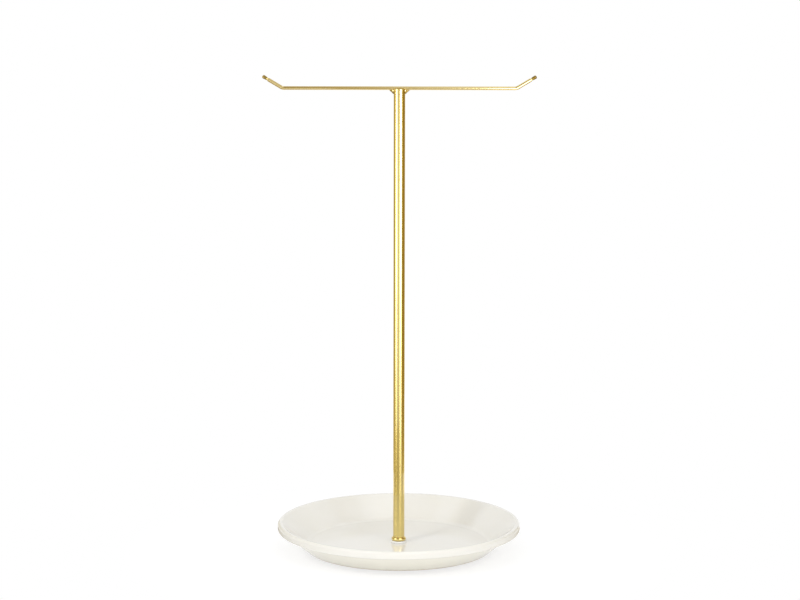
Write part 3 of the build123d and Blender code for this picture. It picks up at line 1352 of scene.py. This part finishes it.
@dataclass
class Post(SubAssembly):
    """The upright: foot, seat washer, tube, closing plug and the two brazed webs under the bar."""

    well: float = 6.0
    washer_thickness: float = 1.4
    washer_diameter: float = 11.0
    washer_bore: float = 5.0
    washer_rounds: Pair = (0.1, 0.45)
    bead_diameter: float = 10.2
    bead_height: float = 2.6
    bead_round: float = 1.15
    spigot_length: float = 12.0
    thread_bore: float = 4.1
    tube_diameter: float = 8.0
    tube_wall: float = 1.0
    tube_rounds: Pair = (0.08, 0.2)
    bar_height: float = 326.0
    bar_diameter: float = 2.5
    saddle_depth: float = 0.9
    plug_length: float = 8.0
    plug_rounds: Pair = (0.4, 0.1)
    joint_gap: float = 0.02
    gusset_reach: float = 3.2
    gusset_drop: float = 2.7
    gusset_thickness: float = 3.2
    gusset_root: float = 0.45
    gusset_rise: float = 0.55
    crown_inset: float = 0.3
    crown_drop: float = 0.2
    bead_turn: float = 240.0
    bead_rings: tuple[Pair, ...] = ((0.5, 0.22), (0.4625, 0.72), (0.415, 1.05), (0.37, 1.25), (0.19, 1.35))
    fin_rings: tuple[Pair, ...] = ((0.13, 0.92), (0.05, 1.0))

    def build(self) -> None:
        """Make the post from the dish upwards."""
        self.make_washer()
        self.make_foot()
        self.make_tube()
        self.make_plug()
        self.make_gusset(Node.GUSSET_LEFT, "brazed_web_left", -1)
        self.make_gusset(Node.GUSSET_RIGHT, "brazed_web_right", 1)

    @property
    def bead_low(self) -> float:
        """The height of the bead's underside."""
        return self.well + self.washer_thickness

    @property
    def bead_top(self) -> float:
        """The height at which the tube starts."""
        return self.bead_low + self.bead_height

    @property
    def tube_top(self) -> float:
        """The height of the tube's upper end, up beside the bar."""
        return self.bar_height - self.bar_diameter / 2 + self.saddle_depth

    @property
    def bore_radius(self) -> float:
        """The tube's inner radius."""
        return self.tube_diameter / 2 - self.tube_wall

    def make_washer(self) -> None:
        """Make the white washer that seats the foot on the glaze."""
        radii = (self.washer_bore / 2, self.washer_diameter / 2)
        outline = Outline.sleeve(radii, (self.well, self.bead_low), self.washer_rounds)
        washer = self.shop.turn("nylon_seat_washer", outline, NYLON, around=96)
        self.hand_in(washer, Node.SEAT_WASHER, NYLON)

    def make_foot(self) -> None:
        """Turn the foot: the rounded bead and the tapped spigot inside the tube."""
        spigot = self.bore_radius - self.joint_gap
        spigot_top = self.bead_top + self.spigot_length
        outline = Outline(
            (
                Corner(self.thread_bore / 2, self.bead_low, 0.15),
                Corner(self.bead_diameter / 2, self.bead_low, self.bead_round),
                Corner(self.bead_diameter / 2, self.bead_top, self.bead_round),
                Corner(spigot, self.bead_top),
                Corner(spigot, spigot_top, 0.2),
                Corner(self.thread_bore / 2, spigot_top, 0.15),
            ),
            ring=True,
            arc_step=4.0,
        )
        foot = self.shop.turn("turned_foot", outline, TURNED_BRASS, around=128)
        self.hand_in(foot, Node.FOOT, TURNED_BRASS)

    def make_tube(self) -> None:
        """Make the tube and file the saddle for the bar across its top."""
        radii = (self.bore_radius, self.tube_diameter / 2)
        outline = Outline.sleeve(radii, (self.bead_top, self.tube_top), self.tube_rounds)
        blank = self.shop.turn("tube_blank", outline, TUBE_BRASS, around=160)
        self.saddle(blank, "drawn_post_tube", Node.TUBE, TUBE_BRASS)

    def make_plug(self) -> None:
        """Make the plug that closes the tube, with the same saddle."""
        radius = self.bore_radius - self.joint_gap
        heights = (self.tube_top - self.plug_length, self.tube_top)
        outline = Outline.disc(radius, heights, self.plug_rounds)
        blank = self.shop.turn("plug_blank", outline, TURNED_BRASS, around=128)
        self.saddle(blank, "turned_top_plug", Node.PLUG, TURNED_BRASS)

    def saddle(self, blank: bpy.types.Object, name: str, node: Node, finish: Finish) -> None:
        """Cut the bar's saddle into a blank and put the piece on the part's body.

        Args:
            blank: the turned piece, which is used up.
            name: the finished piece's name.
            node: the node that it stands for.
            finish: what it is dressed in.
        """
        piece = self.shop.saddling.rework(
            name,
            blank,
            finish,
            notch_radius=(self.bar_diameter / 2 + self.joint_gap) * MM,
            notch_height=self.bar_height * MM,
            notch_length=2 * self.tube_diameter * MM,
        )
        self.hand_in(piece, node, finish)

    def web_rings(self) -> list[tuple[float, list[Pair]]]:
        """Return a web's rings of corners from its front to its back.

        In front and behind it is a round bead of filler. Between the two it is a thin triangle. The
        beads and the triangle swell from one point, the crown.

        Returns:
            For each ring, its place across the thickness from -0.5 to 0.5 and its corners.
        """
        outer = self.tube_diameter / 2
        bar_low = self.bar_height - self.bar_diameter / 2
        inside = outer - self.gusset_root
        foot_z = bar_low - self.gusset_drop
        section = (
            (inside, foot_z - 0.1),
            (outer + 0.25, foot_z - 0.15),
            (outer + self.gusset_reach * 0.5, bar_low - self.gusset_drop * 0.5),
            (outer + self.gusset_reach, bar_low - 0.05),
            (outer + self.gusset_reach, bar_low + self.gusset_rise),
            (inside, bar_low + self.gusset_rise),
        )
        crown_x = outer - self.crown_inset
        crown_z = bar_low - self.crown_drop
        sides = len(section)
        angles = [math.radians(self.bead_turn) + TURN * step / sides for step in range(sides)]
        circle = [(math.cos(angle), math.sin(angle)) for angle in angles]
        triangle = [(x - crown_x, z - crown_z) for x, z in section]
        half = []
        for form, swells in ((circle, self.bead_rings), (triangle, self.fin_rings)):
            for place, swell in swells:
                half.append((place, [(crown_x + x * swell, crown_z + z * swell) for x, z in form]))
        return [(-place, ring) for place, ring in half] + list(reversed(half))

    def make_gusset(self, node: Node, name: str, side: int) -> None:
        """Run a web of filler into the corner between the tube and the bar.

        Args:
            node: the node that it stands for.
            name: the piece's name.
            side: -1 for the left web and 1 for the right one.
        """
        mesh = bpy.data.meshes.new(name)
        cage = bmesh.new()
        rings = []
        for place, corners in self.web_rings():
            y = place * self.gusset_thickness * MM
            rings.append([cage.verts.new((side * x * MM, y, z * MM)) for x, z in corners])
        for near, far in zip(rings, rings[1:]):
            for index in range(len(near)):
                onward = (index + 1) % len(near)
                cage.faces.new((near[index], near[onward], far[onward], far[index]))
        cage.faces.new(rings[0])
        cage.faces.new(rings[-1])
        bmesh.ops.recalc_face_normals(cage, faces=cage.faces)
        for face in cage.faces:
            face.smooth = True
        cage.to_mesh(mesh)
        cage.free()
        mesh.materials.append(BRAZED.material())
        web = add_object(name, mesh)
        rounding = web.modifiers.new("rounding", "SUBSURF")
        rounding.levels = 3
        rounding.render_levels = 3
        self.hand_in(web, node, BRAZED)


@dataclass
class Crossbar(SubAssembly):
    """The bent rod and the two turned caps on its ends."""

    bar_height: float = 326.0
    diameter: float = 2.5
    bend_span: float = 160.5
    arm_length: float = 15.87
    arm_angle: float = 31.0
    bend_radius: float = 4.0
    tip_length: float = 4.5
    tip_diameter: float = 2.6
    waist: float = 1.08
    flare_length: float = 0.7
    nose_round: float = 1.0
    shoulder_round: float = 0.5
    # Painted shade on each cap: the right one is painted darker for the darker reflections it shows.
    left_painted_shade: float = 0.85
    right_painted_shade: float = 1.0
    groove_width: float = 0.55
    groove_depth: float = 0.35
    groove_rounds: Pair = (0.05, 0.08)
    pin_diameter: float = 1.4
    pin_length: float = 2.8
    joint_gap: float = 0.02
    end_round: float = 0.12

    def build(self) -> None:
        """Make the rod and its caps."""
        self.make_rod()
        self.make_tip(Node.TIP_LEFT, "turned_tip_left", -1, self.left_painted_shade)
        self.make_tip(Node.TIP_RIGHT, "turned_tip_right", 1, self.right_painted_shade)

    def along_arm(self, side: int, distance: float) -> Point:
        """Find a point of an arm's centre line.

        Args:
            side: -1 for the left arm and 1 for the right one.
            distance: how far the point lies from the bend.

        Returns:
            The point.
        """
        angle = math.radians(self.arm_angle)
        x = side * (self.bend_span / 2 + distance * math.cos(angle))
        return (x, 0.0, self.bar_height + distance * math.sin(angle))

    def make_rod(self) -> None:
        """Bend the rod, with a thin pin on each end for its cap."""
        run = self.arm_length - self.tip_length
        radius, pin = self.diameter / 2, self.pin_diameter / 2
        arm = (
            (run + self.pin_length, pin, 0.0),
            (run, pin, 0.0),
            (run, radius - self.end_round, 0.0),
            (run - self.end_round, radius, 0.0),
            (0.0, radius, 1.0),
        )
        left = [(self.along_arm(-1, distance), girth * MM, bend) for distance, girth, bend in arm]
        right = [(self.along_arm(1, distance), girth * MM, bend) for distance, girth, bend in reversed(arm)]
        points, girths, bends = zip(*left, *right)
        start = wire_mesh("rod_path", points, girth=girths, bend=bends)
        rod = self.shop.bending.make(
            "bent_crossbar",
            start,
            ROD_BRASS,
            bend_radius=self.bend_radius * MM,
            bend_steps=12,
            around_steps=72,
        )
        self.hand_in(rod, Node.CROSSBAR, ROD_BRASS)

    def make_tip(self, node: Node, name: str, side: int, patina: float) -> None:
        """Turn a cap: a groove at the seam, a body that widens outwards, and a blunt nose.

        Args:
            node: the node that it stands for.
            name: the piece's name.
            side: -1 for the left cap and 1 for the right one.
            patina: how much painted shade it gets, a brown that stands in for dark reflections, from 0 to 1.
        """
        radius = self.tip_diameter / 2
        groove = self.diameter / 2 - self.groove_depth
        bore = self.pin_diameter / 2 + self.joint_gap
        depth = self.pin_length + self.joint_gap
        outline = Outline(
            (
                Corner(0.0, depth),
                Corner(bore, depth),
                Corner(bore, 0.0),
                Corner(groove, 0.0, self.groove_rounds[0]),
                Corner(groove, self.groove_width, self.groove_rounds[1]),
                Corner(self.waist, self.groove_width + self.flare_length, self.shoulder_round),
                Corner(radius, self.tip_length, self.nose_round),
                Corner(0.0, self.tip_length),
            ),
            arc_step=4.0,
        )
        place = tuple(value * MM for value in self.along_arm(side, self.arm_length - self.tip_length))
        lean = side * math.radians(90.0 - self.arm_angle)
        placing = {"place": place, "turn": (0.0, lean, 0.0), "patina": patina}
        tip = self.shop.turn(name, outline, TURNED_BRASS, around=72, **placing)
        self.hand_in(tip, node, TURNED_BRASS)


@dataclass(frozen=True)
class Lamp:
    """One rectangle of light that the camera doesn't see: what it sheds, or the face that gloss shows."""

    name: str
    place: Point
    aim: Point
    width: float
    height: float
    radiance: float
    is_shed: bool = True
    is_reflected: bool = True
    reached: bpy.types.Collection | None = None

    def hang(self) -> None:
        """Make the lamp; its power follows from its area and radiance."""
        light = bpy.data.lights.new(self.name, "AREA")
        light.shape = "RECTANGLE"
        light.size = self.width
        light.size_y = self.height
        light.energy = self.radiance * math.pi * self.width * self.height
        lamp = add_object(self.name, light)
        lamp.location = self.place
        lamp.rotation_euler = (Vector(self.aim) - Vector(self.place)).to_track_quat("-Z", "Y").to_euler()
        lamp.visible_camera = False
        lamp.visible_diffuse = self.is_shed
        lamp.visible_glossy = self.is_reflected
        lamp.light_linking.receiver_collection = self.reached


@dataclass(frozen=True)
class Card:
    """A curved board that only reflections show, graded from its left to its right.

    It runs round the object from one azimuth to another, in degrees, between an arc at its near
    radius and low height and an arc at its far radius and high height. Its shade is warm and its
    brightest parts are white.
    """

    name: str
    start: float
    end: float
    near: float
    far: float
    low: float
    high: float
    left: float
    right: float
    spread: float = 0.15
    shade: Colour = (1.0, 0.81, 0.45)
    shade_level: float = 0.35
    white_level: float = 0.90

    def stand(self) -> None:
        """Stand the board round the object."""
        steps = max(2, math.ceil((self.end - self.start) / 4))
        points, faces = [], []
        for step in range(steps + 1):
            angle = math.radians(self.start + (self.end - self.start) * step / steps)
            for radius, height in ((self.near, self.low), (self.far, self.high)):
                points.append((radius * math.sin(angle), -radius * math.cos(angle), height))
            if step:
                last = 2 * step
                faces.append((last - 2, last, last + 1, last - 1))
        mesh = bpy.data.meshes.new(self.name)
        mesh.from_pydata(points, [], faces)
        material = bpy.data.materials.new(self.name)
        paint = Paint(material)
        x, _, _ = paint.parts(paint.wire("ShaderNodeTexCoord", output="Object"))
        strength = paint.between(paint.ease(x, -self.spread, self.spread), self.left, self.right)
        whiteness = paint.ease(strength, self.shade_level, self.white_level)
        paint.end(paint.glow(strength, paint.blend(whiteness, self.shade, WHITE)))
        mesh.materials.append(material)
        board = add_object(self.name, mesh)
        board.visible_camera = False
        board.visible_diffuse = False
        board.visible_shadow = False


@dataclass
class Studio:
    """A pale floor, soft lights, bright faces and warm boards for reflections, and the picture's camera."""

    brass: bpy.types.Collection
    camera_place: Point = (0.00012, -1.7, 0.45248)
    camera_pitch: float = 9.14
    camera_roll: float = -0.10
    lens: float = 111.52
    sensor_width: float = 36.0
    fill: float = 0.54
    fill_colour: Colour = (1.0, 0.995, 0.985)
    overhead: float = 0.75
    floor_radius: float = 14.0
    floor_near: float = 0.10
    floor_far: float = 0.20
    floor_glow: float = 0.76
    floor_albedo: float = 0.30
    floor_bounce: float = 0.92
    floor_lift: float = 0.04
    floor_front_lift: float = 0.06
    floor_front: float = -0.15
    box_distance: float = 0.40
    key_light: float = 7.3
    side_light: float = 2.5
    box_face: float = 4.2
    box_middle: float = 2.6
    box_foot: float = 1.3
    brown: Colour = (1.0, 0.68, 0.14)
    tan: Colour = (1.0, 0.78, 0.20)
    board_foot: float = 0.001
    board_on_table: float = 0.0005
    ceiling: float = 1.45

    def set_up(self) -> None:
        """Build the whole studio."""
        self.make_camera()
        self.light_the_world()
        self.lay_floor()
        for lamp in self.lamps():
            lamp.hang()
        for card in self.cards():
            card.stand()
        view = bpy.context.scene.view_settings
        view.view_transform = "Standard"

    def lamps(self) -> list[Lamp]:
        """List the overhead panel, the two lights in front and the faces that the brass shows.

        The faces reach only the brass. They are bright enough for the camera to clip them to white,
        and the glaze would clip too if it showed them.

        Returns:
            The lamps.
        """
        well = (0.0, 0.0, 0.006)
        return [
            Lamp("overhead", (0.0, -0.1, 1.5), well, 1.6, 1.6, self.overhead, is_reflected=False),
            Lamp("key_light", (-0.57, -0.56, 0.45), well, 0.2, 0.4, self.key_light, is_reflected=False),
            Lamp("side_light", (0.44, -0.67, 0.3), well, 0.5, 0.5, self.side_light, is_reflected=False),
            *self.faces("left_face", -58.0, (0.235, 0.20, 0.17)),
            *self.faces("right_face", 30.0, (0.285, 0.245, 0.21)),
        ]

    def faces(self, name: str, azimuth: float, widths: Sequence[float]) -> list[Lamp]:
        """Return an upright face in front of the object, in three heights that darken downwards.

        Args:
            name: the face's name.
            azimuth: its direction from the post, in degrees; 0 is towards the camera, right is positive.
            widths: its width at each height, from the top down.

        Returns:
            The three parts of the face, from the top down.
        """
        heights = (
            ("", 0.12, 0.36, self.box_face),
            ("_middle", 0.05, 0.12, self.box_middle),
            ("_foot", 0.0, 0.05, self.box_foot),
        )
        angle = math.radians(azimuth)
        away = Vector((math.sin(angle), -math.cos(angle), 0.0)) * self.box_distance
        linking = {"is_shed": False, "reached": self.brass}
        parts = []
        for width, (ending, low, high, radiance) in zip(widths, heights):
            aim = Vector((0.0, 0.0, (low + high) / 2))
            parts.append(Lamp(name + ending, aim + away, aim, width, high - low, radiance, **linking))
        return parts

    def cards(self) -> list[Card]:
        """List the boards: in front, at each side, above and on the table.

        Returns:
            The boards.
        """
        foot, table, ceiling = self.board_foot, self.board_on_table, self.ceiling
        # Name, start, end, near, far, low, high, left, right.
        return [
            Card("card_between", -40.0, -8.0, 0.42, 0.42, foot, 0.30, 1.05, 1.05),
            Card("card_front_left", -84.0, -25.0, 0.57, 0.57, foot, 1.5, 0.66, 0.66),
            Card("card_front", -25.0, 25.0, 0.57, 0.57, foot, 1.5, 0.40, 0.95),
            Card("card_front_right", 25.0, 64.0, 0.57, 0.57, foot, 1.5, 0.62, 0.62),
            Card("card_right", 60.0, 136.0, 0.24, 0.24, foot, 0.4, 0.355, 0.355, shade=self.brown),
            Card("card_left", -148.0, -78.0, 0.24, 0.24, foot, 0.4, 0.55, 0.55, shade=self.tan),
            Card("card_above", -180.0, 180.0, 0.01, 0.55, ceiling, ceiling, 0.38, 1.20),
            Card("card_above_rim", -180.0, 180.0, 0.55, 1.1, ceiling, ceiling, 0.95, 0.58),
            Card("card_table_front", -100.0, 100.0, 0.13, 0.56, table, table, 0.36, 0.80),
            Card("card_table_back", 100.0, 260.0, 0.13, 0.56, table, table, 1.20, 1.30),
            Card("card_foot_left", -150.0, -55.0, 0.087, 0.13, table, table, 0.35, 0.35),
            Card("card_foot_right", 55.0, 150.0, 0.087, 0.13, table, table, 0.50, 0.50),
        ]

    def make_camera(self) -> None:
        """Make the camera level with the picture's, a little above the bar and looking down."""
        data = bpy.data.cameras.new("camera")
        data.lens = self.lens
        data.sensor_width = self.sensor_width
        data.sensor_fit = "HORIZONTAL"
        camera = add_object("camera", data)
        camera.location = self.camera_place
        camera.rotation_euler = (math.radians(90.0 - self.camera_pitch), math.radians(self.camera_roll), 0.0)
        bpy.context.scene.camera = camera

    def seen(self, bench: Bench) -> Wire:
        """Pick out the rays that show the background: camera, glossy and transmission.

        Args:
            bench: the bench.

        Returns:
            1 for those rays and 0 for the others.
        """
        kinds = ("Is Camera Ray", "Is Glossy Ray", "Is Transmission Ray")
        camera, glossy, through = bench.outputs(bench.node("ShaderNodeLightPath"), *kinds)
        return bench.reckon("MINIMUM", camera + glossy + through, 1.0)

    def light_the_world(self) -> None:
        """Make the world white where it is seen and a plain fill light otherwise."""
        world = bpy.data.worlds.new("studio")
        bpy.context.scene.world = world
        world.use_nodes = True
        world.node_tree.nodes.clear()
        bench = Bench(world.node_tree)
        white = bench.wire("ShaderNodeBackground", sockets={"Color": WHITE, "Strength": 1.0})
        sockets = {"Color": self.fill_colour, "Strength": self.fill}
        fill = bench.wire("ShaderNodeBackground", sockets=sockets)
        bench.node("ShaderNodeOutputWorld", sockets={"Surface": bench.mixed(self.seen(bench), fill, white)})

    def lay_floor(self) -> None:
        """Lay the floor: it glows white where it is seen, and still takes the object's shadow."""
        mesh = bpy.data.meshes.new("studio_floor")
        disc = bmesh.new()
        bmesh.ops.create_circle(disc, cap_ends=True, segments=96, radius=self.floor_radius)
        disc.to_mesh(mesh)
        disc.free()
        material = bpy.data.materials.new("studio_floor")
        paint = Paint(material)
        x, y, _ = paint.parts(paint.wire("ShaderNodeTexCoord", output="Object"))
        far = paint.ease(paint.length(x, y), self.floor_near, self.floor_far)
        shown = paint.mixed(far, paint.glow_on_matt(self.floor_glow, self.floor_albedo), paint.glow(1.0))
        lift = self.floor_lift + self.floor_front_lift * paint.ease(y, 0.0, self.floor_front)
        felt = paint.glow_on_matt(lift, self.floor_bounce)
        paint.end(paint.mixed(self.seen(paint), felt, shown))
        mesh.materials.append(material)
        floor = add_object("studio_floor", mesh)


def main() -> None:
    """Set up the studio and build the holder from the table up."""
    logging.basicConfig(level=logging.INFO, format="%(message)s")
    shop = Workshop()
    Studio(shop.brass).set_up()
    for assembly in (Pads(shop), Dish(shop), Clamp(shop), Post(shop), Crossbar(shop)):
        log.info("building %s", type(assembly).__name__)
        assembly.build()


if __name__ == "__main__":
    main()
